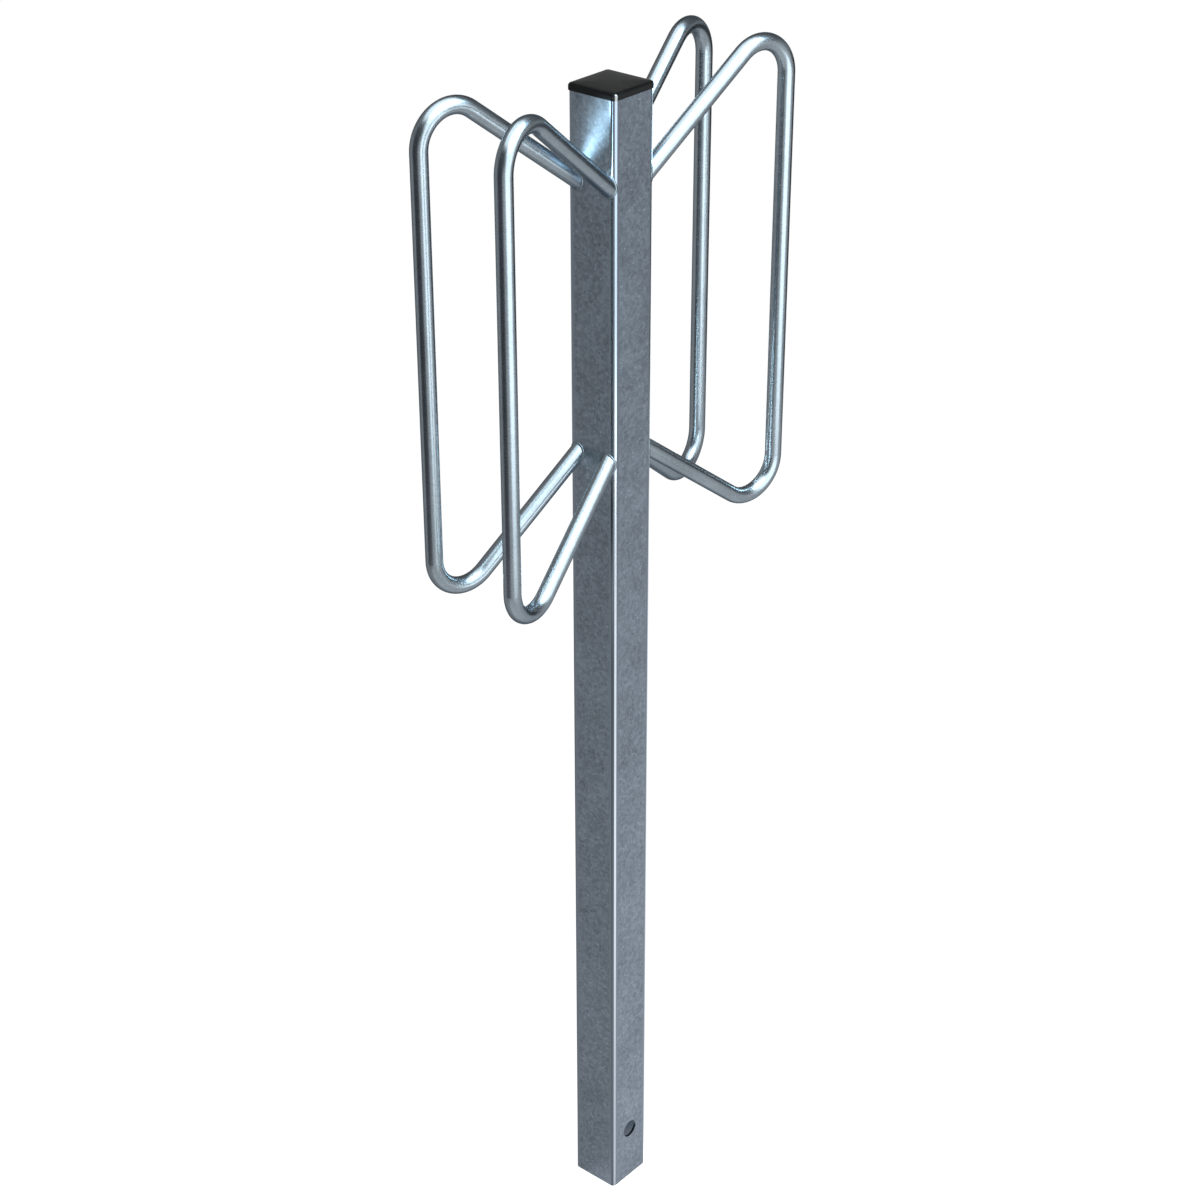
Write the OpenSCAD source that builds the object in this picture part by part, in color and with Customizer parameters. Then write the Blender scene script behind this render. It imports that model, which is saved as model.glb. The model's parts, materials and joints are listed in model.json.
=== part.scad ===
// Hoop bike rack: a square galvanised post, set in the ground by its lower end, with a pair
// of tube hoops on its front and a pair on its back. Each pair splays apart, so a bicycle's
// wheel wedges between the two hoops.
// The origin is the centre of the post's lower end. +Z runs up the post, and the front pair
// of hoops reaches towards -Y. All sizes are millimetres.

/* [Post] */
// Outer width of the square hollow post
post_w = 60; // [56:1:80]
// Wall thickness of the post
post_wall = 3; // [2:0.5:4]
// Outer radius of the post's four corners
post_corner_r = 5; // [5:0.5:8]
// Length of the post, from its lower end to the seat of the cap
post_len = 1350; // [1200:10:1600]

/* [Anchor hole] */
// Diameter of the cross hole that an anchor bar passes through
anchor_d = 22; // [12:1:32]
// Height of the cross hole's centre above the post's lower end
anchor_z = 72; // [40:1:150]

/* [Hoops] */
// Outside diameter of the hoop tube
tube_d = 18; // [16:0.5:20]
// Wall thickness of the hoop tube
tube_wall = 2; // [1.5:0.25:3]
// Distance from the post's upper end down to the middle of the hoops
hoop_drop = 235; // [200:5:500]
// Height between the centres of a hoop's two ends, on the post's face
end_span = 297; // [250:1:340]
// Height between a hoop's two outer corners, where its centre lines would meet
corner_span = 580; // [480:1:640]
// Reach of a hoop's upright bar, from the post's face to the bar's centre line
reach = 185; // [150:1:220]
// Bend radius of the tube's centre line at the outer corners
bend_r = 38; // [30:1:45]
// Angle by which each hoop is turned outwards, seen from above
splay = 10; // [6:1:15]

/* [Welds] */
// Leg length of the weld bead round each hoop end
weld_leg = 1.5; // [1:0.25:4]
// Height by which the bead's face bulges out
weld_crown = 0.3; // [0.1:0.1:0.8]

/* [Vent holes] */
// Diameter of the hole in the post's wall under each hoop end, for the zinc bath
vent_d = 7; // [4:0.5:7.5]

/* [Cap] */
// Height of the cap's head above the post's upper end
cap_head = 8; // [6:0.5:12]
// Radius of the rounded edge round the top of the head
cap_edge_r = 4.5; // [1:0.5:4.5]
// Thickness of the head's top wall
cap_top_wall = 3; // [2:0.5:4]
// Depth of the skirt inside the post
skirt_depth = 25; // [24:1:40]
// Wall thickness of the skirt
skirt_wall = 2; // [1.5:0.25:3]
// Gap between the skirt and the inside of the post
skirt_gap = 1.5; // [1:0.25:2]
// Number of gripping fins round the skirt
fin_count = 4; // [2:1:4]
// Thickness of a gripping fin
fin_t = 1.2; // [0.8:0.1:1.6]
// Distance from one fin to the next
fin_pitch = 5; // [3:0.25:5]
// Gap between the fins' edges and the inside of the post
fin_gap = 0.3; // [0.2:0.05:0.5]

/* [Hidden] */
$fn = 96;
// overrun of every cut past the face that it goes through
cut_over = 1;

// inside of the post
bore_w = post_w - 2 * post_wall;
bore_corner_r = post_corner_r - post_wall;
// centre of the post's front right corner radius, the same distance from both faces
corner_c = post_w / 2 - post_corner_r;

// the hoop's centre line, in its own plane
tube_r = tube_d / 2;
leg_rise = (corner_span - end_span) / 2;
leg_tilt = atan(leg_rise / reach);
bend_angle = 90 + leg_tilt;
bend_setback = bend_r * tan(bend_angle / 2);
leg_len = sqrt(reach * reach + leg_rise * leg_rise) - bend_setback;
bar_len = corner_span - 2 * bend_setback;
// how far each half of the upright bar runs past the middle, into its other half
bar_lap = tube_d;
// half width of the blocks that cut a bend out of its ring
bend_out = bend_r + tube_d;
// how far the uncut tube runs on past the post's face, before it is coped
cope_run = 2 * tube_d;

// the hoop's place: its outer side is flush with the post's side face
hoop_x = post_w / 2 - tube_r;
hoop_z = post_len - hoop_drop;

// the weld bead: stations round the tube, how deep its root is buried before it is cut, as a
// share of its leg length, and the length of the stubs of post and tube that cut it
weld_stations = 36;
weld_root_share = 0.25;
weld_root = weld_root_share * weld_leg;
weld_stub = 2 * tube_d;

// the fins' first level under the head
fin_first = fin_pitch;

zinc = [0.50, 0.54, 0.58];
zinc_weld = [0.56, 0.60, 0.63];
black_plastic = [0.11, 0.11, 0.11];

// A square with rounded corners, centred on the origin.
module rounded_square(w, r) {
    square([w, w - 2 * r], center = true);
    square([w - 2 * r, w], center = true);
    for (x = [-1, 1], y = [-1, 1])
        translate([x * (w / 2 - r), y * (w / 2 - r)]) circle(r);
}

// A prism over the rounded square, from z = 0 up.
module rounded_prism(w, r, h) {
    linear_extrude(h) rounded_square(w, r);
}

// Puts a front right part on the corner that is asked for: 1 mirrors it, 0 leaves it.
module to_corner(left, rear) {
    mirror([left, 0, 0]) mirror([0, rear, 0]) children();
}

// The post: a square hollow section with the anchor bar's cross hole and eight vent holes.
module post() {
    color(zinc) difference() {
        rounded_prism(post_w, post_corner_r, post_len);
        translate([0, 0, -cut_over])
            rounded_prism(bore_w, bore_corner_r, post_len + 2 * cut_over);
        translate([-post_w / 2 - cut_over, 0, anchor_z]) rotate([0, 90, 0])
            cylinder(d = anchor_d, h = post_w + 2 * cut_over);
        for (x = [-1, 1], z = [-1, 1])
            translate([x * hoop_x, -post_w / 2 - cut_over, hoop_z + z * end_span / 2])
                rotate([-90, 0, 0]) cylinder(d = vent_d, h = post_w + 2 * cut_over);
    }
}

// Section of the cap's head at its rim, from the corner radius' centre outwards.
module rim_section() {
    square([post_corner_r, cap_head - cap_edge_r]);
    square([post_corner_r - cap_edge_r, cap_head]);
    translate([post_corner_r - cap_edge_r, cap_head - cap_edge_r]) intersection() {
        circle(cap_edge_r);
        square(cap_edge_r);
    }
}

// The head of the cap: the rim's section runs straight along the sides and turns at the corners.
module cap_head_solid() {
    flat = 2 * corner_c;
    translate([-corner_c, -corner_c, 0]) cube([flat, flat, cap_head]);
    for (side = [0 : 3]) rotate([0, 0, 90 * side]) {
        translate([corner_c, corner_c, 0]) rotate([90, 0, 0])
            linear_extrude(flat) rim_section();
        translate([corner_c, corner_c, 0]) rotate_extrude(angle = 90) rim_section();
    }
}

// The plastic cap: a rounded head on the post's end, and a hollow skirt with gripping fins inside.
module post_cap() {
    skirt_w = bore_w - 2 * skirt_gap;
    fin_w = bore_w - 2 * fin_gap;
    color(black_plastic) translate([0, 0, post_len]) difference() {
        union() {
            cap_head_solid();
            translate([0, 0, -skirt_depth])
                rounded_prism(skirt_w, bore_corner_r, skirt_depth);
            for (i = [0 : fin_count - 1])
                translate([0, 0, -fin_first - i * fin_pitch])
                    rounded_prism(fin_w, bore_corner_r, fin_t);
        }
        translate([0, 0, -skirt_depth - cut_over])
            rounded_prism(skirt_w - 2 * skirt_wall, bore_corner_r,
                skirt_depth + cut_over + cap_head - cap_top_wall);
    }
}

// One outer corner of the hoop about its bend's centre, laid out evenly on both sides of the X
// axis: the leg's half above, the upright bar's half below, and the bend between them, which is
// a full ring less the parts past its two ends.
module hoop_corner(r) {
    half = bend_angle / 2;
    rotate([0, 0, half]) translate([bend_r, 0, 0]) rotate([-90, 0, 0])
        cylinder(r = r, h = leg_len + cope_run);
    rotate([0, 0, -half]) translate([bend_r, 0, 0]) rotate([90, 0, 0])
        cylinder(r = r, h = bar_len / 2 + bar_lap);
    difference() {
        rotate([0, 0, half]) rotate_extrude() translate([bend_r, 0]) circle(r);
        rotate([0, 0, half]) translate([-bend_out, 0, -bend_out / 2])
            cube([2 * bend_out, bend_out, bend_out]);
        rotate([0, 0, -half]) translate([-bend_out, -bend_out, -bend_out / 2])
            cube([2 * bend_out, bend_out, bend_out]);
    }
}

// A bar of radius r along the hoop's centre line, in the plane z = 0: x is the distance from
// the post's face and y the height over the hoop's middle. Its legs run on past the face.
module hoop_bar(r) {
    for (m = [0, 1]) mirror([0, m, 0]) translate([reach - bend_r, bar_len / 2, 0])
        rotate([0, 0, bend_angle / 2]) hoop_corner(r);
}

// One hoop: a bent tube whose two ends are coped to the post's face and corner radius.
module hoop(left, rear) {
    color(zinc) to_corner(left, rear) translate([0, 0, hoop_z]) difference() {
        translate([hoop_x, -post_w / 2, 0]) rotate([0, 0, splay - 90]) rotate([90, 0, 0])
            difference() {
                hoop_bar(tube_r);
                hoop_bar(tube_r - tube_wall);
            }
        translate([0, 0, -corner_span / 2])
            rounded_prism(post_w, post_corner_r, corner_span);
    }
}

// The leg's axis at the post's face, its direction, and two directions square to it.
leg_foot = [hoop_x, -post_w / 2, 0];
leg_dir = [sin(splay) * cos(leg_tilt), -cos(splay) * cos(leg_tilt), sin(leg_tilt)];
leg_side = [cos(splay), sin(splay), 0];
leg_up = cross(leg_dir, leg_side);

// Length along the leg at which a line of its surface, at offset q, meets the post: the flat
// face first, or the corner radius where the flat has ended.
function meet_flat(q) = -q[1] / leg_dir[1];
function meet_round(p, v) =
    (-p * v + sqrt((p * v) * (p * v) - v * v * (p * p - post_corner_r * post_corner_r))) / (v * v);
function meet(q) =
    let (s = meet_flat(q), x = hoop_x + q[0] + s * leg_dir[0])
    x <= corner_c ? s
        : meet_round([hoop_x + q[0] - corner_c, q[1] - post_corner_r],
            [leg_dir[0], leg_dir[1]]);

// The post's surface unrolled: its distance round from the middle of the front face, and back.
quarter = post_corner_r * PI / 2;
function unroll(p) = p[0] <= corner_c ? p[0]
    : corner_c + post_corner_r * atan2(p[0] - corner_c, -p[1] - corner_c) * PI / 180;
function round_angle(u) = min(max(u - corner_c, 0), quarter) / post_corner_r * 180 / PI;
function post_normal(u) = [sin(round_angle(u)), -cos(round_angle(u)), 0];
function on_post(u, z) =
    [min(u, corner_c), max(u - corner_c - quarter, 0) - corner_c, z] + post_corner_r * post_normal(u);

// The bead's section at each station: its toe on the post, its crown, its toe on the tube,
// and its root behind the seam. Toes and root are buried, and the cuts bring them to the surface.
weld_radial = [for (i = [0 : weld_stations - 1]) let (a = 360 * i / weld_stations)
    cos(a) * leg_side + sin(a) * leg_up];
weld_seam = [for (n = weld_radial) leg_foot + tube_r * n + meet(tube_r * n) * leg_dir];
weld_flat = [for (p = weld_seam) [unroll(p), p[2]]];
function ring(list, i) = list[(i + weld_stations) % weld_stations];
function away(i) =
    let (t = ring(weld_flat, i + 1) - ring(weld_flat, i - 1))
    [t[1], -t[0]] / norm(t);
function weld_section(i) =
    let (toe = weld_flat[i] + weld_leg * away(i),
        n = post_normal(toe[0]),
        post_toe = on_post(toe[0], toe[1]),
        tube_toe = weld_seam[i] + weld_leg * leg_dir,
        out = post_normal(weld_flat[i][0]) + weld_radial[i],
        crown = (post_toe + tube_toe) / 2 + weld_crown * out / norm(out))
    [post_toe - weld_root * n, crown, tube_toe - weld_root * weld_radial[i],
        weld_seam[i] - weld_root * out];
weld_points = [for (i = [0 : weld_stations - 1]) each weld_section(i)];
// a section's number of points, and the triangles between one section and the next
section_n = 4;
weld_faces = [for (i = [0 : weld_stations - 1], k = [0 : section_n - 1])
    let (a = i * section_n, b = ((i + 1) % weld_stations) * section_n, m = (k + 1) % section_n)
    each [[a + k, a + m, b + m], [a + k, b + m, b + k]]];

// One weld bead: a ring of fillet sections, cut to the post's skin and to the tube's.
module weld(left, rear, lower) {
    color(zinc_weld) to_corner(left, rear) translate([0, 0, hoop_z])
        mirror([0, 0, lower]) translate([0, 0, end_span / 2]) difference() {
            polyhedron(weld_points, weld_faces);
            translate([0, 0, -weld_stub / 2])
                rounded_prism(post_w, post_corner_r, weld_stub);
            translate(leg_foot) rotate([0, 0, splay - 90]) rotate([0, 90 - leg_tilt, 0])
                cylinder(r = tube_r, h = 2 * weld_stub, center = true);
        }
}

post();
post_cap();
hoop(left = 1, rear = 0);  // hoop_front_left
hoop(left = 0, rear = 0);  // hoop_front_right
hoop(left = 1, rear = 1);  // hoop_rear_left
hoop(left = 0, rear = 1);  // hoop_rear_right
weld(left = 1, rear = 0, lower = 0);  // weld_front_left_upper
weld(left = 1, rear = 0, lower = 1);  // weld_front_left_lower
weld(left = 0, rear = 0, lower = 0);  // weld_front_right_upper
weld(left = 0, rear = 0, lower = 1);  // weld_front_right_lower
weld(left = 1, rear = 1, lower = 0);  // weld_rear_left_upper
weld(left = 1, rear = 1, lower = 1);  // weld_rear_left_lower
weld(left = 0, rear = 1, lower = 0);  // weld_rear_right_upper
weld(left = 0, rear = 1, lower = 1);  // weld_rear_right_lower
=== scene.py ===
"""A galvanised hoop bike rack: a square post with a black cap and four welded tube hoops."""
import json
import math

import bpy
import numpy as np
from mathutils import Matrix, Vector

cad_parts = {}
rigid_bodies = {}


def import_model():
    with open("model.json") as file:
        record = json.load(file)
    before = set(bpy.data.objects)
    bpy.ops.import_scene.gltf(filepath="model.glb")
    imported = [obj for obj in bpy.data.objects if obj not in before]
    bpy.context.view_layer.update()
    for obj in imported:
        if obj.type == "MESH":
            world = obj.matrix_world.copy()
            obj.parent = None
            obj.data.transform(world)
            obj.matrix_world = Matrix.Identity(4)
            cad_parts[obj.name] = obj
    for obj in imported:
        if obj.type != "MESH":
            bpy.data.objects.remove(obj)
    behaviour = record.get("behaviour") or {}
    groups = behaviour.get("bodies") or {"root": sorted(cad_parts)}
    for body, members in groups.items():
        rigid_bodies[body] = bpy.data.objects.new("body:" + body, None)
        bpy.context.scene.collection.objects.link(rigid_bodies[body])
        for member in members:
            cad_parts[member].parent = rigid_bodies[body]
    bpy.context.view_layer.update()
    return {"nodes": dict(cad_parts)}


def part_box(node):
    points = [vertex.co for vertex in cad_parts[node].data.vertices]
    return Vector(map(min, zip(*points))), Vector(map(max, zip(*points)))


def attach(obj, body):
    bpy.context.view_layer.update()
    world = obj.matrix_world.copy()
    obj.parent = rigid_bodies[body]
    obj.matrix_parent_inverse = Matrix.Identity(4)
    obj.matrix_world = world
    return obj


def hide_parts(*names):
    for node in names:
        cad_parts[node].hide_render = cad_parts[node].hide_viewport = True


scene = bpy.context.scene
scene.view_settings.view_transform = "Standard"
for leftover in list(bpy.data.objects):
    bpy.data.objects.remove(leftover)

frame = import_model()

# Sizes of the post and the hoops, in metres
POST_HALF = 0.030
POST_CORNER = 0.005
CORNER_CENTRE = POST_HALF - POST_CORNER
CORNER_ARC = POST_CORNER * math.pi / 2.0
TUBE_RADIUS = 0.009
HOOP_ACROSS = POST_HALF - TUBE_RADIUS
HOOP_HEIGHT = 1.115
HOOP_REACH = 0.185
HOOP_SPLAY = math.radians(10.0)
CORNER_SPAN = 0.580
END_SPAN = 0.297
END_RISE = END_SPAN / 2.0
LEG_TILT = math.atan2((CORNER_SPAN - END_SPAN) / 2.0, HOOP_REACH)

# Sizes of the weld beads, in metres, and the counts of their ripples and faces
BEAD_LEG = 0.0015
BEAD_CROWN = 0.0003
BEAD_BURIED = 0.0002
RIPPLE_HEIGHT = 0.00005
RIPPLE_COUNT = 40
BEAD_STATIONS = 240
BEAD_STEPS = 9

# Sizes of the cap, in metres, and the counts of its fins and faces
CAP_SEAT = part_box("post")[1][2]
CAP_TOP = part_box("post_cap")[1][2]
CAP_HALF = 0.0309
CAP_CORNER = 0.0047
CAP_EDGE = 0.0034
CAP_CROWN = 0.0005
CAP_LIP = 0.0004
CAP_ROOF = 0.003
SKIRT_HALF = 0.0255
SKIRT_CORNER = 0.002
SKIRT_WALL = 0.002
SKIRT_DEPTH = 0.025
FIN_HALF = 0.0267
FIN_PITCH = 0.005
FIN_THICK = 0.0012
FIN_COUNT = 4
CROWN_SHARES = (0.25, 0.5, 0.75)
CAP_EDGE_STEPS = 11
CAP_CORNER_STEPS = 9
CAP_CREASE = 40.0

# The camera, at the photograph's angle
CAMERA_YAW = math.radians(40.542)
CAMERA_PITCH = math.radians(28.731)
CAMERA_ROLL = math.radians(-0.114)
CAMERA_DISTANCE = 2.65334
CAMERA_AIM_HEIGHT = 0.78716
CAMERA_AIM_SIDE = -0.01167
CAMERA_AIM_LIFT = 0.00054
CAMERA_LENS = 74.148
SENSOR_WIDTH = 36.0


def photo_camera():
    """Camera on a sphere round the post's axis: yaw from -Y towards +X, pitch above the floor."""
    back = Vector((math.sin(CAMERA_YAW) * math.cos(CAMERA_PITCH),
                   -math.cos(CAMERA_YAW) * math.cos(CAMERA_PITCH), math.sin(CAMERA_PITCH)))
    level = Vector((math.cos(CAMERA_YAW), math.sin(CAMERA_YAW), 0.0))
    upright = back.cross(level)
    side = math.cos(CAMERA_ROLL) * level + math.sin(CAMERA_ROLL) * upright
    top = math.cos(CAMERA_ROLL) * upright - math.sin(CAMERA_ROLL) * level
    aim = Vector((0.0, 0.0, CAMERA_AIM_HEIGHT)) + CAMERA_AIM_SIDE * side + CAMERA_AIM_LIFT * top
    place = Matrix((side, top, back)).transposed().to_4x4()
    place.translation = aim + CAMERA_DISTANCE * back
    camera = bpy.data.objects.new("camera", bpy.data.cameras.new("camera"))
    camera.data.sensor_width = SENSOR_WIDTH
    camera.data.lens = CAMERA_LENS
    camera.matrix_world = place
    scene.collection.objects.link(camera)
    scene.camera = camera


# Node helpers

def add(tree, kind, inputs=(), **settings):
    """A node of that kind: settings are its properties, inputs are (socket, value or socket)."""
    made = tree.nodes.new(kind)
    for name, value in settings.items():
        setattr(made, name, value)
    for socket, value in inputs:
        if isinstance(value, bpy.types.NodeSocket):
            tree.links.new(value, made.inputs[socket])
        else:
            made.inputs[socket].default_value = value
    return made


def calc(tree, operation, a, b=0.0, c=0.0):
    """One Math node's output."""
    return add(tree, "ShaderNodeMath", ((0, a), (1, b), (2, c)), operation=operation).outputs[0]


def between(tree, value, low, high, out_low=0.0, out_high=1.0):
    """Value carried smoothly from the range low..high to out_low..out_high."""
    return add(tree, "ShaderNodeMapRange",
               (("Value", value), ("From Min", low), ("From Max", high),
                ("To Min", out_low), ("To Max", out_high)),
               interpolation_type="SMOOTHSTEP").outputs["Result"]


def blend_colour(tree, share, a, b, mode="MIX"):
    """Colour a changed towards b by the share."""
    return add(tree, "ShaderNodeMix", ((0, share), (6, a), (7, b)),
               data_type="RGBA", blend_type=mode).outputs[2]


def object_place(tree):
    """The point on the piece, in its own Object coordinates."""
    return add(tree, "ShaderNodeTexCoord").outputs["Object"]


def split_axes(tree, vector):
    """The X, Y and Z outputs of a vector."""
    return add(tree, "ShaderNodeSeparateXYZ", ((0, vector),)).outputs


def noise(tree, place, scale, detail, roughness=0.5):
    """The outputs Fac and Color of a noise over the place."""
    return add(tree, "ShaderNodeTexNoise", (("Vector", place), ("Scale", scale),
                                            ("Detail", detail), ("Roughness", roughness))).outputs


def cells(tree, place, scale):
    """The outputs Color and Distance of cells over the place."""
    return add(tree, "ShaderNodeTexVoronoi", (("Vector", place), ("Scale", scale)),
               feature="F1").outputs


def bump(tree, height, strength, distance):
    """The normal that the height gives."""
    return add(tree, "ShaderNodeBump", (("Height", height), ("Strength", strength),
                                        ("Distance", distance))).outputs[0]


def group_frame(name, inputs, outputs):
    """A new shader node group with its named sockets; returns tree, input node, output node."""
    tree = bpy.data.node_groups.new(name, "ShaderNodeTree")
    for label, kind in inputs:
        tree.interface.new_socket(label, in_out="INPUT", socket_type=kind)
    for label, kind in outputs:
        tree.interface.new_socket(label, in_out="OUTPUT", socket_type=kind)
    return tree, tree.nodes.new("NodeGroupInput"), tree.nodes.new("NodeGroupOutput")


def blank_material(name):
    """A material with only its output: the material, its tree and the surface socket."""
    material = bpy.data.materials.new(name)
    material.use_nodes = True
    tree = material.node_tree
    tree.nodes.clear()
    return material, tree, tree.nodes.new("ShaderNodeOutputMaterial").inputs["Surface"]


# Zinc

POST_TONE = (0.117, 0.138, 0.164, 1.0)
TUBE_TONE = (0.156, 0.180, 0.201, 1.0)
BEAD_TONE = (0.110, 0.130, 0.148, 1.0)
# Painted light: the inside of the post's walls is given a lighter tone against its shade
BORE_PAINTED_LIGHT_TONE = (0.130, 0.155, 0.180, 1.0)
# Tone of the painted highlight, a bright line down each corner radius of the post
PAINTED_HIGHLIGHT_TONE = (0.49, 0.54, 0.60, 1.0)
# Tone of the painted shade, a dark line beside the painted highlight on the post's corners
PAINTED_SHADE_TONE = (0.049, 0.057, 0.068, 1.0)
POST_EDGE = (0.70, 0.72, 0.76, 1.0)
TUBE_EDGE = (0.30, 0.31, 0.33, 1.0)
# Painted reflection: how much brighter the zinc's colour is made where another metal mirrors it
POST_PAINTED_REFLECTION_GAIN = (2.2, 2.3, 2.4)
TUBE_PAINTED_REFLECTION_GAIN = (5.0, 5.3, 4.88)
CORNER_ROUGHNESS = 0.15
RELIEF_DISTANCE = 0.0004

# How far each pattern of the skin sways the shade, the roughness and the height
SHADE_BY_CLOUD = 4.0
STREAK_SHARE = 0.35
DARKEST_SHADE = 0.2
ROUGHNESS_BY_GRAIN = 0.12
ROUGHNESS_BY_CLOUD = 0.06
HEIGHT_BY_CLOUD = 0.8
HEIGHT_BY_GRAIN = 0.7
HEIGHT_BY_CRYSTAL = 0.12
CRYSTAL_BEND = 0.004
SALT_RANGE = (0.20, 0.05)
STREAK_RANGE = (0.62, 0.80)
STREAK_TURN = (0.5, 0.5, 0.0)
STREAK_SCALE = (700.0, 700.0, 60.0)

# Where the post's zones start and where they are full, in metres, and what share they keep
BORE_RANGE = (0.02720, 0.02705)
CORNER_RANGE = (0.0515, 0.0548)
# The painted highlight: a bright line down each corner radius that stands in for the lamps' gleam
# there, strongest below the hoops
PAINTED_HIGHLIGHT_LEAN = 0.488
PAINTED_HIGHLIGHT_RANGE = (0.04250, 0.04266)
PAINTED_HIGHLIGHT_UNDER = (1.15, 0.75)
PAINTED_HIGHLIGHT_FOOT = (0.08, 0.55, 0.42, 1.0)
# The painted shade: a dark line where the corner radius starts on the hoops' faces, standing in for
# a dark reflection there
PAINTED_SHADE_LEAN = 0.532
PAINTED_SHADE_RANGE = (0.04368, 0.04381)
PAINTED_SHADE_UNDER = (0.88, 0.72)
PAINTED_SHADE_FOOT = (0.30, 0.65, 0.75, 1.0)


def zinc_skin_group():
    """Hot-dipped zinc over Object coordinates in metres: clouds of tone, fine crystals, a salt
    of light specks and faint slanting streaks, put out as colour, roughness and height. Cloud,
    Crystal, Grain and Speck weigh the patterns, of which the first three sway about nought, and
    the tone is multiplied by one plus their sum."""
    tree, take, give = group_frame(
        "zinc_skin",
        (("Coordinates", "NodeSocketVector"), ("Tone", "NodeSocketColor"),
         ("Roughness", "NodeSocketFloat"), ("Cloud", "NodeSocketFloat"),
         ("Crystal", "NodeSocketFloat"), ("Grain", "NodeSocketFloat"),
         ("Speck", "NodeSocketFloat")),
        (("Colour", "NodeSocketColor"), ("Roughness", "NodeSocketFloat"),
         ("Height", "NodeSocketFloat")))
    place = take.outputs["Coordinates"]
    cloud = noise(tree, place, scale=22.0, detail=4.0, roughness=0.55)["Fac"]
    cloud = calc(tree, "SUBTRACT", cloud, 0.5)
    wander = noise(tree, place, scale=90.0, detail=2.0)["Color"]
    bent = blend_colour(tree, CRYSTAL_BEND, place, wander, "ADD")
    crystal = cells(tree, bent, scale=260.0)["Color"]
    crystal = add(tree, "ShaderNodeSeparateColor", ((0, crystal),)).outputs[0]
    crystal = calc(tree, "SUBTRACT", crystal, 0.5)
    grain = noise(tree, place, scale=480.0, detail=2.0, roughness=0.55)["Fac"]
    grain = calc(tree, "MULTIPLY", calc(tree, "SUBTRACT", grain, 0.5), take.outputs["Grain"])
    salt = between(tree, cells(tree, place, scale=150.0)["Distance"], *SALT_RANGE)
    slant = add(tree, "ShaderNodeMapping", (("Vector", place), ("Rotation", STREAK_TURN),
                                            ("Scale", STREAK_SCALE))).outputs[0]
    streak = between(tree, noise(tree, slant, scale=1.0, detail=1.0)["Fac"], *STREAK_RANGE)
    light = calc(tree, "MAXIMUM", salt, calc(tree, "MULTIPLY", streak, STREAK_SHARE))

    cloud_weight = calc(tree, "MULTIPLY", take.outputs["Cloud"], SHADE_BY_CLOUD)
    shade = calc(tree, "MULTIPLY_ADD", cloud, cloud_weight, 1.0)
    shade = calc(tree, "MULTIPLY_ADD", crystal, take.outputs["Crystal"], shade)
    shade = calc(tree, "ADD", shade, grain)
    shade = calc(tree, "MULTIPLY_ADD", light, take.outputs["Speck"], shade)
    shade = calc(tree, "MAXIMUM", shade, DARKEST_SHADE)
    colour = blend_colour(tree, 1.0, take.outputs["Tone"], shade, "MULTIPLY")
    rough = calc(tree, "MULTIPLY_ADD", grain, ROUGHNESS_BY_GRAIN, take.outputs["Roughness"])
    rough = calc(tree, "MULTIPLY_ADD", cloud, ROUGHNESS_BY_CLOUD, rough)
    height = calc(tree, "MULTIPLY", crystal, HEIGHT_BY_CRYSTAL)
    height = calc(tree, "MULTIPLY_ADD", grain, HEIGHT_BY_GRAIN, height)
    height = calc(tree, "MULTIPLY_ADD", cloud, HEIGHT_BY_CLOUD, height)
    tree.links.new(colour, give.inputs["Colour"])
    tree.links.new(rough, give.inputs["Roughness"])
    tree.links.new(height, give.inputs["Height"])
    return tree


def post_zones_group():
    """Where the square post's zinc differs, over Object coordinates in metres: the bore, within
    the walls, which is given a painted lighter tone against the shade inside; the turn of the four
    corner radii, drawn smooth; a painted highlight line along them, brighter below the hoops and
    fainter again near the ground; and beside it, on the hoops' faces, a painted shade line where
    the radius starts. With x across and y deep, both without their sign, the bore is found by the
    greater of them, the corner by their sum, and the two lines by x + lean * y and y + lean * x."""
    tree, take, give = group_frame(
        "post_zones", (("Coordinates", "NodeSocketVector"),),
        (("Bore", "NodeSocketFloat"), ("Corner", "NodeSocketFloat"),
         ("Painted Highlight", "NodeSocketFloat"), ("Painted Shade", "NodeSocketFloat")))
    axes = split_axes(tree, take.outputs["Coordinates"])
    across = calc(tree, "ABSOLUTE", axes[0])
    depth = calc(tree, "ABSOLUTE", axes[1])
    rise = axes[2]
    bore = between(tree, calc(tree, "MAXIMUM", across, depth), *BORE_RANGE)
    corner = between(tree, calc(tree, "ADD", depth, across), *CORNER_RANGE)
    line = between(tree, calc(tree, "MULTIPLY_ADD", depth, PAINTED_HIGHLIGHT_LEAN, across), *PAINTED_HIGHLIGHT_RANGE)
    highlight_fade = calc(tree, "MULTIPLY", between(tree, rise, *PAINTED_HIGHLIGHT_UNDER),
                  between(tree, rise, *PAINTED_HIGHLIGHT_FOOT))
    start = between(tree, calc(tree, "MULTIPLY_ADD", across, PAINTED_SHADE_LEAN, depth), *PAINTED_SHADE_RANGE)
    shade_line_fade = calc(tree, "MULTIPLY", between(tree, rise, *PAINTED_SHADE_UNDER),
                  between(tree, rise, *PAINTED_SHADE_FOOT))
    tree.links.new(bore, give.inputs["Bore"])
    tree.links.new(corner, give.inputs["Corner"])
    tree.links.new(calc(tree, "MULTIPLY", line, highlight_fade), give.inputs["Painted Highlight"])
    tree.links.new(calc(tree, "MULTIPLY", start, shade_line_fade), give.inputs["Painted Shade"])
    return tree


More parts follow.
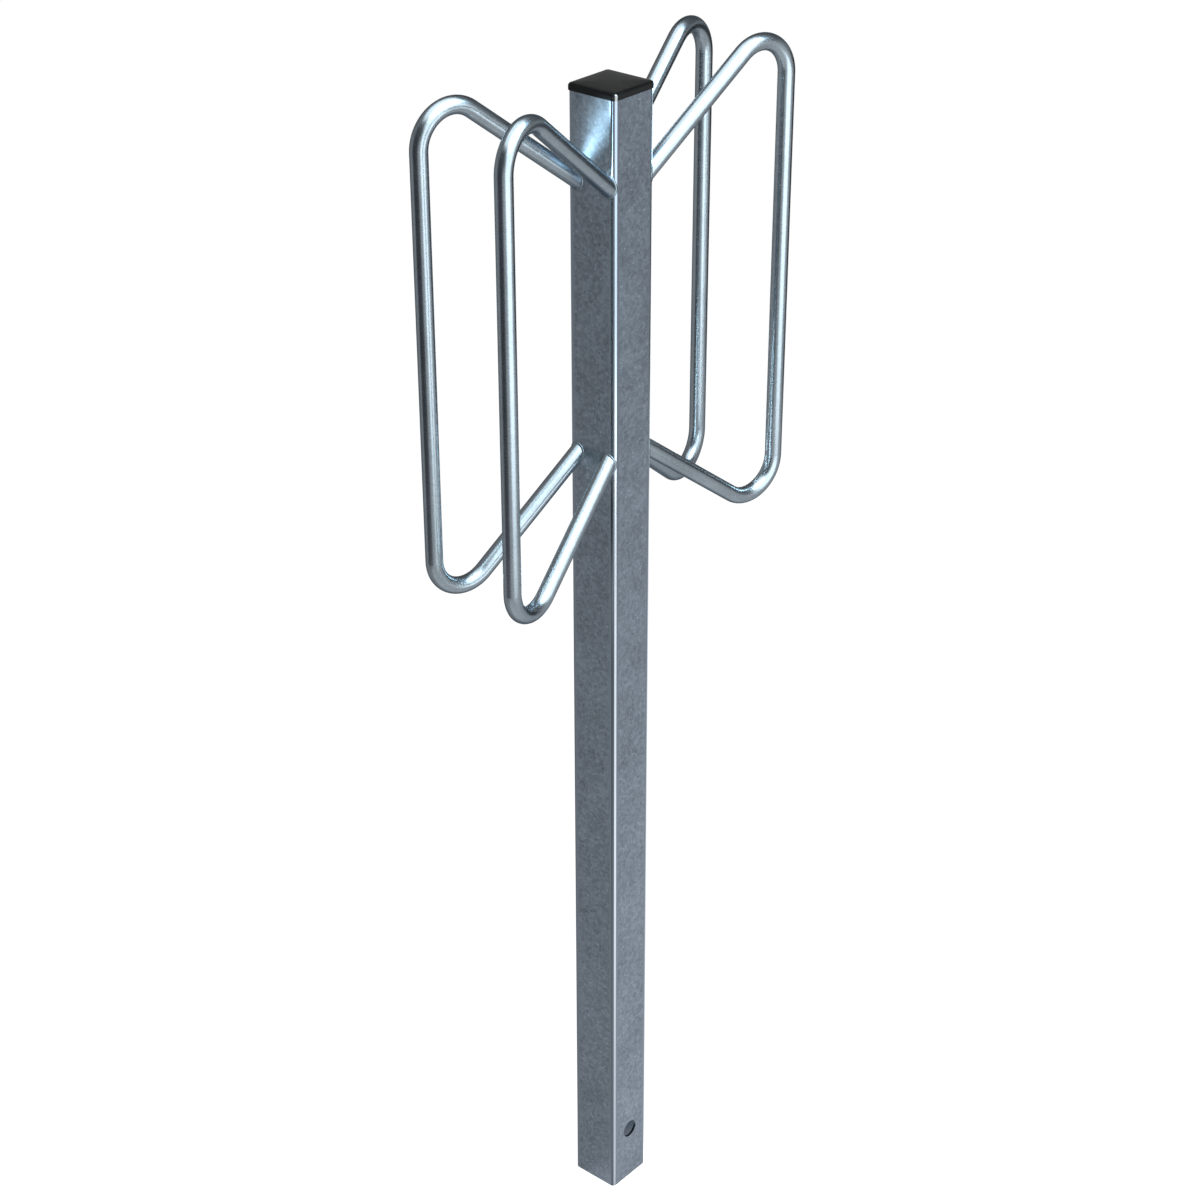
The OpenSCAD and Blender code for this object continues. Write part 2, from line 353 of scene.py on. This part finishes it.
def zinc_material(name, skin, zones=None, *, tone, edge, painted_reflection_gain, roughness, cloud,
                  crystal, grain, speck, relief):
    """Zinc as a metal whose tone, roughness and relief come from the zinc skin, and whose
    reflection is toned towards edge where it is seen aslant. With zones, the bore is painted a
    lighter tone against the shade inside, and the corner radii are smooth, with a painted highlight
    line and a painted shade line along them. Where another metal surface mirrors the zinc, its
    colour is raised by one plus the gain, a painted brightening of its reflections."""
    material, tree, output = blank_material(name)
    place = object_place(tree)
    look = add(tree, "ShaderNodeGroup",
               (("Coordinates", place), ("Tone", tone), ("Roughness", roughness),
                ("Cloud", cloud), ("Crystal", crystal), ("Grain", grain), ("Speck", speck)),
               node_tree=skin).outputs
    colour, rough, height = look["Colour"], look["Roughness"], look["Height"]
    if zones:
        zone = add(tree, "ShaderNodeGroup", (("Coordinates", place),), node_tree=zones).outputs
        corner = zone["Corner"]
        # Painted light inside the walls
        colour = blend_colour(tree, zone["Bore"], colour, BORE_PAINTED_LIGHT_TONE)
        colour = blend_colour(tree, corner, colour, tone)
        # Painted shade beside the painted highlight
        colour = blend_colour(tree, zone["Painted Shade"], colour, PAINTED_SHADE_TONE)
        # Painted highlight along the corner radii
        colour = blend_colour(tree, zone["Painted Highlight"], colour, PAINTED_HIGHLIGHT_TONE)
        smoother = calc(tree, "SUBTRACT", CORNER_ROUGHNESS, rough)
        rough = calc(tree, "MULTIPLY_ADD", smoother, corner, rough)
        height = calc(tree, "MULTIPLY", height, calc(tree, "SUBTRACT", 1.0, corner))
    # Painted reflection: the colour is raised only for rays that another metal reflects
    mirrored = tree.nodes.new("ShaderNodeLightPath").outputs["Is Glossy Ray"]
    full = add(tree, "ShaderNodeCombineXYZ",
               [(axis, calc(tree, "MULTIPLY_ADD", mirrored, gain, 1.0))
                for axis, gain in enumerate(painted_reflection_gain)]).outputs[0]
    colour = blend_colour(tree, 1.0, colour, full, "MULTIPLY")
    surface = add(tree, "ShaderNodeBsdfPrincipled",
                  (("Base Color", colour), ("Roughness", rough), ("Metallic", 1.0),
                   ("Specular Tint", edge),
                   ("Normal", bump(tree, height, relief, RELIEF_DISTANCE))))
    tree.links.new(surface.outputs[0], output)
    return material


# Black plastic

PLASTIC_TONE = (0.0023, 0.0023, 0.0024, 1.0)
SCUFFED_TONE = (0.0038, 0.0038, 0.0039, 1.0)
# Painted light: the tone of the cap below its top edge, lighter than the top
CAP_SIDE_PAINTED_LIGHT_TONE = (0.0064, 0.0064, 0.0066, 1.0)
SCUFF_RANGE = (0.35, 0.75)
SCUFF_ROUGHNESS = (0.3, 0.8, 0.19, 0.25)
CAP_SIDE_PAINTED_LIGHT_RANGE = (CAP_TOP - 0.0035, CAP_TOP - 0.0015, 1.0, 0.0)
CAP_CORNER_RANGE = (0.0570, 0.0578)
POLISH_RANGE = (0.0288, 0.0302, 0.04, 1.0)


def moulded_material():
    """Black moulded plastic with a fine spark-eroded grain and a slight sheen, its head below the
    top edge and its skirt painted lighter than the top as painted light, and polished by hands along
    its four upright corners, most where they turn to the sides. The corners are found by the sum of
    x and y, without their sign, in metres."""
    material, tree, output = blank_material("moulded_plastic")
    place = object_place(tree)
    axes = split_axes(tree, place)
    across = calc(tree, "ABSOLUTE", axes[0])
    depth = calc(tree, "ABSOLUTE", axes[1])
    grain = noise(tree, place, scale=1600.0, detail=2.0)["Fac"]
    scuff = noise(tree, place, scale=60.0, detail=5.0, roughness=0.6)["Fac"]
    colour = blend_colour(tree, between(tree, scuff, *SCUFF_RANGE), PLASTIC_TONE, SCUFFED_TONE)
    # Painted light: below the top edge the cap is lighter than its top
    colour = blend_colour(tree, between(tree, axes[2], *CAP_SIDE_PAINTED_LIGHT_RANGE), colour, CAP_SIDE_PAINTED_LIGHT_TONE)
    corner = between(tree, calc(tree, "ADD", depth, across), *CAP_CORNER_RANGE)
    polish = calc(tree, "MULTIPLY", corner, between(tree, across, *POLISH_RANGE))
    surface = add(tree, "ShaderNodeBsdfPrincipled",
                  (("Base Color", colour), ("Roughness", between(tree, scuff, *SCUFF_ROUGHNESS)),
                   ("Specular IOR Level", 0.036), ("Coat Weight", polish),
                   ("Coat Roughness", 0.12), ("Coat IOR", 1.9),
                   ("Normal", bump(tree, grain, strength=0.25, distance=0.0002))))
    tree.links.new(surface.outputs[0], output)
    return material


# Mesh helpers

def mesh_object(name, points, faces, finish):
    """An object in one finish, from its points and the list of its faces."""
    mesh = bpy.data.meshes.new(name)
    mesh.from_pydata(points.tolist(), [], faces)
    mesh.materials.append(finish)
    made = bpy.data.objects.new(name, mesh)
    scene.collection.objects.link(made)
    return made


def rows_of_quads(index, after):
    """Faces from each row of points to the next, where after is each point's neighbour."""
    return np.stack([index[:-1], index[1:], after[1:], after[:-1]], -1).reshape(-1, 4).tolist()


def fan(tip, row, after):
    """Three-cornered faces from the tip to each point of the row and its neighbour."""
    return np.stack([np.full(len(row), tip), row, after], -1).tolist()


# Studio

WHITE = (1.0, 1.0, 1.0, 1.0)
SOFTBOX_TINT = (0.90, 0.985, 1.0)
HOOPS_AIM = (0.0, 0.0, 1.2)
CARD_TONE = (0.13, 0.13, 0.14, 1.0)
CARD_BOW = 0.1
CARD_COLUMNS = 9
FILL = 0.35
LEFT_WAY = (-1.0, -0.5, 0.0)
LEFT_RANGE = (0.3, 0.8)
OVERHEAD_RIGHT = 0.38
OVERHEAD_LEFT = 0.72
HORIZON_BAND = 0.32
FLOOR_TONE = (0.05, 0.05, 0.05, 1.0)
FLOOR_RINGS = (0.5, 3.0, 40.0)
FLOOR_POINTS = 64
FLOOR_LIFT = (-0.03, 0.06, 0.985, 1.75)
FLOOR_FADE = (0.1, 1.2, 0.0, 0.45)


def stand(thing, centre, front):
    """Places a thing at the centre with its Z axis turned to the front."""
    turn = front.normalized().to_track_quat("Z", "Y")
    thing.matrix_world = Matrix.Translation(centre) @ turn.to_matrix().to_4x4()


def softbox(name, centre, aim, width, height, radiance, shape="RECTANGLE", tint=SOFTBOX_TINT):
    """A flat lamp at centre that faces aim, unseen by the camera. Its watts follow from the
    radiance wanted: power = radiance * area * pi."""
    lamp = bpy.data.lights.new(name, "AREA")
    lamp.shape = shape
    lamp.size = width
    lamp.size_y = height
    lamp.color = tint
    area = width * height * (math.pi / 4.0 if shape == "ELLIPSE" else 1.0)
    lamp.energy = radiance * area * math.pi
    box = bpy.data.objects.new(name, lamp)
    scene.collection.objects.link(box)
    stand(box, centre, Vector(centre) - Vector(aim))
    box.visible_camera = False
    return box


def second_mirror_only(box):
    """Keeps a lamp's light for the second mirror, from two bounces on, and off matt surfaces."""
    box.visible_diffuse = False
    box.data.use_nodes = True
    tree = box.data.node_tree
    tree.nodes.clear()
    bounces = tree.nodes.new("ShaderNodeLightPath").outputs["Ray Depth"]
    shine = add(tree, "ShaderNodeEmission",
                (("Strength", calc(tree, "GREATER_THAN", bounces, 1.5)),)).outputs[0]
    tree.links.new(shine, tree.nodes.new("ShaderNodeOutputLight").inputs[0])


def studio_lamps():
    """A tall softbox on the right, a round one overhead and two weak flanks for the tubes, and a
    lamp that shows in nothing but what the hoops' legs mirror into the post's upper face."""
    softbox("right_softbox", (1.2, -0.10, 1.62), HOOPS_AIM, width=1.65, height=3.2, radiance=5.2)
    softbox("front_flank", (0.84, -0.84, 2.27), HOOPS_AIM, width=0.45, height=0.75, radiance=2.4)
    softbox("back_flank", (0.91, 0.76, 2.27), HOOPS_AIM, width=0.45, height=0.75, radiance=1.8)
    softbox("top_softbox", (0.15, -0.2, 2.55), (0.15, -0.2, 1.0), width=1.95, height=1.95,
            radiance=4.7, shape="ELLIPSE")
    gleam = softbox("hoop_gleam", (0.854, 0.079, 2.336), (0.04, -0.11, 1.34), width=1.40,
                    height=1.40, radiance=20.0, shape="ELLIPSE", tint=(0.55, 0.82, 1.0))
    second_mirror_only(gleam)


def dark_card(name, centre, aim, width, height):
    """A dark card that only reflections see, for the dark line along a bright tube: a sheet
    width across and height up that faces aim, its sides bent forward by the square of their
    distance from the middle."""
    material, tree, output = blank_material(name)
    matt = add(tree, "ShaderNodeBsdfDiffuse", (("Color", CARD_TONE),))
    tree.links.new(matt.outputs[0], output)
    rise, across = np.meshgrid([-0.5, 0.5], np.linspace(-0.5, 0.5, CARD_COLUMNS))
    points = np.stack([across * width, rise * height, CARD_BOW * (2.0 * across) ** 2], -1)
    index = np.arange(across.size).reshape(across.shape)
    card = mesh_object(name, points.reshape(-1, 3),
                       rows_of_quads(index[:, :1], index[:, 1:]), material)
    stand(card, centre, Vector(aim) - Vector(centre))
    card.visible_camera = card.visible_diffuse = card.visible_shadow = False


def background_rays(tree):
    """One for the rays that show the background, of the camera, gloss and glass, else nought."""
    ray = tree.nodes.new("ShaderNodeLightPath").outputs
    return calc(tree, "MAXIMUM", ray["Is Camera Ray"],
                calc(tree, "MAXIMUM", ray["Is Glossy Ray"], ray["Is Transmission Ray"]))


def studio_world():
    """White near the horizon and greyer overhead for what the camera and metal see, lighter
    towards the left, and a plain dim fill for everything else."""
    world = bpy.data.worlds.new("studio")
    scene.world = world
    world.use_nodes = True
    tree = world.node_tree
    tree.nodes.clear()
    seen = background_rays(tree)
    direction = add(tree, "ShaderNodeTexCoord").outputs["Generated"]
    leftward = add(tree, "ShaderNodeVectorMath", ((0, direction), (1, LEFT_WAY)),
                   operation="DOT_PRODUCT").outputs["Value"]
    overhead = between(tree, leftward, *LEFT_RANGE, OVERHEAD_RIGHT, OVERHEAD_LEFT)
    dimmed = calc(tree, "MULTIPLY", between(tree, split_axes(tree, direction)[2], 0.0, HORIZON_BAND),
                  calc(tree, "SUBTRACT", 1.0, overhead))
    sky = calc(tree, "SUBTRACT", 1.0, dimmed)
    fill = calc(tree, "MULTIPLY", calc(tree, "SUBTRACT", 1.0, seen), FILL)
    strength = calc(tree, "MULTIPLY_ADD", sky, seen, fill)
    glow = add(tree, "ShaderNodeBackground", (("Color", WHITE), ("Strength", strength)))
    tree.links.new(glow.outputs[0], tree.nodes.new("ShaderNodeOutputWorld").inputs["Surface"])


def floor_material():
    """Matt grey that keeps the shade, with a light of its own for the background's rays, which
    lifts it to white: brighter right of the rack, where the metal mirrors it."""
    material, tree, output = blank_material("pale_floor")
    matt = add(tree, "ShaderNodeBsdfDiffuse", (("Color", FLOOR_TONE),))
    across = split_axes(tree, object_place(tree))[0]
    # Painted light: the floor glows more right of the rack, so that the metal mirrors more light
    # there
    floor_glow_across = calc(tree, "SUBTRACT", between(tree, across, *FLOOR_LIFT),
                       between(tree, across, *FLOOR_FADE))
    strength = calc(tree, "MULTIPLY", background_rays(tree), floor_glow_across)
    lift = add(tree, "ShaderNodeEmission", (("Color", WHITE), ("Strength", strength)))
    both = add(tree, "ShaderNodeAddShader", ((0, matt.outputs[0]), (1, lift.outputs[0])))
    tree.links.new(both.outputs[0], output)
    return material


def studio_floor():
    """A wide pale floor: a disc of rings, each point at ring * cosine and ring * sine of its
    turn, closed by a fan round the middle."""
    turn = np.linspace(0.0, 2.0 * math.pi, FLOOR_POINTS, endpoint=False)
    turn, ring = np.meshgrid(turn, np.array(FLOOR_RINGS))
    points = np.stack([ring * np.cos(turn), ring * np.sin(turn), np.zeros_like(ring)], -1)
    points = np.vstack([points.reshape(-1, 3), np.zeros((1, 3))])
    index = np.arange(ring.size).reshape(ring.shape)
    after = np.roll(index, -1, 1)
    faces = rows_of_quads(index, after) + fan(index.size, index[0], after[0])
    mesh_object("floor", points, faces, floor_material())


# Pieces

def smooth_piece(name, points, faces, finish, crease=180.0):
    """A mesh object at the origin, shaded smooth but for edges that turn by more than the
    crease, in degrees."""
    piece = mesh_object(name, points, faces, finish)
    piece.data.polygons.foreach_set("use_smooth", np.ones(len(faces), bool))
    piece.data.set_sharp_from_angle(angle=math.radians(crease))
    return piece


def leg_axes():
    """Direction of the front right hoop's upper leg, and two directions square to it."""
    run = np.array([math.sin(HOOP_SPLAY) * math.cos(LEG_TILT),
                    -math.cos(HOOP_SPLAY) * math.cos(LEG_TILT), math.sin(LEG_TILT)])
    side = np.array([math.cos(HOOP_SPLAY), math.sin(HOOP_SPLAY), 0.0])
    return run, side, np.cross(run, side)


def on_post(along, height):
    """Point and normal of the post's front face, carried on round its right corner radius, at a
    distance along the skin from the face's middle: a point level with the corner's centre, and
    the corner radius times the normal added to it."""
    turn = np.clip(along - CORNER_CENTRE, 0.0, CORNER_ARC) / POST_CORNER
    normal = np.stack([np.sin(turn), -np.cos(turn), np.zeros_like(turn)], -1)
    past = np.maximum(along - CORNER_CENTRE - CORNER_ARC, 0.0)
    middle = np.stack([np.minimum(along, CORNER_CENTRE), past - CORNER_CENTRE, height], -1)
    return middle + POST_CORNER * normal, normal


def weld_seam(turn):
    """Where the tube's skin meets the post's, at each turn round the tube. A line of the tube's
    skin runs to the flat face, y = -POST_HALF, or to the corner circle where the flat has ended:
    there the length is the root of |start + length * run| = POST_CORNER, seen from above."""
    run, side, rise = leg_axes()
    radial = np.cos(turn)[:, None] * side + np.sin(turn)[:, None] * rise
    foot = np.array([HOOP_ACROSS, -POST_HALF, 0.0]) + TUBE_RADIUS * radial
    flat_length = -(foot[:, 1] + POST_HALF) / run[1]
    start = foot[:, :2] - np.array([CORNER_CENTRE, -CORNER_CENTRE])
    square = run[:2] @ run[:2]
    half = start @ run[:2]
    inside = half ** 2 - square * ((start ** 2).sum(1) - POST_CORNER ** 2)
    round_length = (-half + np.sqrt(np.maximum(inside, 0.0))) / square
    on_flat = foot[:, 0] + flat_length * run[0] <= CORNER_CENTRE
    seam = foot + np.where(on_flat, flat_length, round_length)[:, None] * run
    bend = np.arctan2(seam[:, 0] - CORNER_CENTRE, -seam[:, 1] - CORNER_CENTRE)
    along = np.where(seam[:, 0] <= CORNER_CENTRE, seam[:, 0], CORNER_CENTRE + POST_CORNER * bend)
    return seam, radial, along


def weld_bead(name, left, rear, lower, finish):
    """A fillet round one hoop end: at each turn the face runs from a toe on the post to a toe on
    the tube, raised between them by crown * 4 * share * (1 - share), with fine ripples along the
    ring. The ring closes on itself and, behind the seam, across its buried root. Made at the
    front right upper end and mirrored to its own."""
    turn = np.linspace(0.0, 2.0 * math.pi, BEAD_STATIONS, endpoint=False)
    seam, radial, along = weld_seam(turn)
    flat = np.stack([along, seam[:, 2]], -1)
    tangent = np.roll(flat, -1, 0) - np.roll(flat, 1, 0)
    away = np.stack([tangent[:, 1], -tangent[:, 0]], -1)
    away /= np.linalg.norm(away, axis=1, keepdims=True)
    toe = flat + BEAD_LEG * away
    post_toe, normal = on_post(toe[:, 0], toe[:, 1])
    post_toe = post_toe - BEAD_BURIED * normal
    tube_toe = seam + BEAD_LEG * leg_axes()[0] - BEAD_BURIED * radial
    out = on_post(along, seam[:, 2])[1] + radial
    out /= np.linalg.norm(out, axis=1, keepdims=True)
    share = np.linspace(0.0, 1.0, BEAD_STEPS)
    ripple = RIPPLE_HEIGHT * np.cos(RIPPLE_COUNT * turn)[:, None] * np.sin(math.pi * share)
    lift = 4.0 * (BEAD_CROWN + BEAD_BURIED) * share * (1.0 - share) + ripple
    face = (post_toe[:, None] * (1.0 - share)[:, None] + tube_toe[:, None] * share[:, None]
            + lift[..., None] * out[:, None])
    points = np.concatenate([face, (seam - BEAD_BURIED * out)[:, None]], 1)
    points[..., 2] = HOOP_HEIGHT + (END_RISE + points[..., 2]) * (-1.0 if lower else 1.0)
    points *= np.array([-1.0 if left else 1.0, -1.0 if rear else 1.0, 1.0])
    index = np.arange(points.shape[0] * points.shape[1]).reshape(points.shape[:2])
    right = np.roll(index, -1, 0)
    above = np.roll(index, -1, 1)
    quads = np.stack([index, above, np.roll(above, -1, 0), right], -1).reshape(-1, 4)
    mirrored = (left + rear + lower) % 2
    if mirrored:
        quads = quads[:, ::-1]
    return smooth_piece(name, points.reshape(-1, 3), quads.tolist(), finish)


def cap_rings():
    """Half width, corner radius and height of each ring of the cap, from near the middle of its
    crowned top, over the rounded edge, down the head, in under the lip, down the finned skirt
    and back up inside it to its roof. The edge is a quarter circle: width and corner radius grow
    by its cosine while the height falls by its sine."""
    inner = CAP_HALF - CAP_EDGE
    rings = [(inner * share, CAP_CORNER * share / 2.0, CAP_TOP - CAP_CROWN * share ** 2)
             for share in CROWN_SHARES]
    rise = CAP_TOP - CAP_CROWN - CAP_EDGE
    rings += [(inner + CAP_EDGE * math.cos(turn), CAP_CORNER - CAP_EDGE + CAP_EDGE * math.cos(turn),
               rise + CAP_EDGE * math.sin(turn))
              for turn in np.radians(np.linspace(90.0, 0.0, CAP_EDGE_STEPS))]
    rings += [(CAP_HALF, CAP_CORNER, CAP_SEAT + CAP_LIP),
              (CAP_HALF - CAP_LIP, CAP_CORNER, CAP_SEAT),
              (SKIRT_HALF, SKIRT_CORNER, CAP_SEAT)]
    for fin in range(FIN_COUNT):
        low = CAP_SEAT - FIN_PITCH * (fin + 1)
        rings += [(half, SKIRT_CORNER, height) for half, height in (
            (SKIRT_HALF, low + FIN_THICK), (FIN_HALF, low + FIN_THICK), (FIN_HALF, low),
            (SKIRT_HALF, low))]
    hollow = SKIRT_HALF - SKIRT_WALL
    rings += [(SKIRT_HALF, SKIRT_CORNER, CAP_SEAT - SKIRT_DEPTH),
              (hollow, SKIRT_CORNER, CAP_SEAT - SKIRT_DEPTH),
              (hollow, SKIRT_CORNER, CAP_TOP - CAP_ROOF),
              (hollow / 2.0, SKIRT_CORNER / 2.0, CAP_TOP - CAP_ROOF)]
    return np.array(rings)


def moulded_cap(finish):
    """The cap as rings of a rounded square, each four quarter circles of its corner radius about
    centres that lie half width less radius from the middle, joined from ring to ring, and closed
    at a point in the middle of its top and of its roof."""
    rings = cap_rings()
    half, corner, height = (rings[:, column, None] for column in range(3))
    quarter = np.arange(4 * CAP_CORNER_STEPS) // CAP_CORNER_STEPS
    step = np.tile(np.linspace(0.0, 1.0, CAP_CORNER_STEPS), 4)
    turn = np.radians(90.0 * (quarter + step))
    across = np.where((quarter == 0) | (quarter == 3), 1.0, -1.0)
    along = np.where(quarter < 2, 1.0, -1.0)
    points = np.stack([across * (half - corner) + corner * np.cos(turn),
                       along * (half - corner) + corner * np.sin(turn),
                       np.broadcast_to(height, (len(rings), len(turn)))], -1)
    middle = [[0.0, 0.0, CAP_TOP], [0.0, 0.0, CAP_TOP - CAP_ROOF]]
    index = np.arange(points.size // 3).reshape(len(rings), -1)
    after = np.roll(index, -1, 1)
    top, roof = index.size, index.size + 1
    faces = (rows_of_quads(index, after) + fan(top, index[0], after[0])
             + fan(roof, after[-1], index[-1]))
    return smooth_piece("moulded_cap", np.vstack([points.reshape(-1, 3), middle]), faces, finish,
                        crease=CAP_CREASE)


# The rack in its studio

photo_camera()
studio_world()
studio_floor()
studio_lamps()
dark_card("front_card", (-0.10, -1.6, 1.3), (0.0, 0.0, 1.3), width=1.65, height=2.6)
dark_card("back_card", (0.66, 2.31, 0.6), (0.0, 0.0, 0.6), width=1.35, height=1.2)

skin = zinc_skin_group()
post_zinc = zinc_material(
    "post_zinc", skin, post_zones_group(), tone=POST_TONE, edge=POST_EDGE,
    painted_reflection_gain=POST_PAINTED_REFLECTION_GAIN, roughness=0.31, cloud=0.15, crystal=0.35, grain=0.80, speck=0.65,
    relief=0.05)
tube_zinc = zinc_material(
    "tube_zinc", skin, tone=TUBE_TONE, edge=TUBE_EDGE, painted_reflection_gain=TUBE_PAINTED_REFLECTION_GAIN,
    roughness=0.27, cloud=0.10, crystal=0.07, grain=0.15, speck=0.08, relief=0.01)
bead_zinc = zinc_material(
    "bead_zinc", skin, tone=BEAD_TONE, edge=TUBE_EDGE, painted_reflection_gain=TUBE_PAINTED_REFLECTION_GAIN,
    roughness=0.38, cloud=0.10, crystal=0.10, grain=0.3, speck=0.10, relief=0.05)
for name, node in frame["nodes"].items():
    if name.startswith("weld"):
        bead = weld_bead("bead" + name[len("weld"):], "left" in name, "rear" in name,
                         "lower" in name, bead_zinc)
        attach(bead, "root")
        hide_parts(name)
        continue
    for holder in node.material_slots:
        holder.material = tube_zinc if name.startswith("hoop") else post_zinc

cap = moulded_cap(moulded_material())
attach(cap, "root")
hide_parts("post_cap")
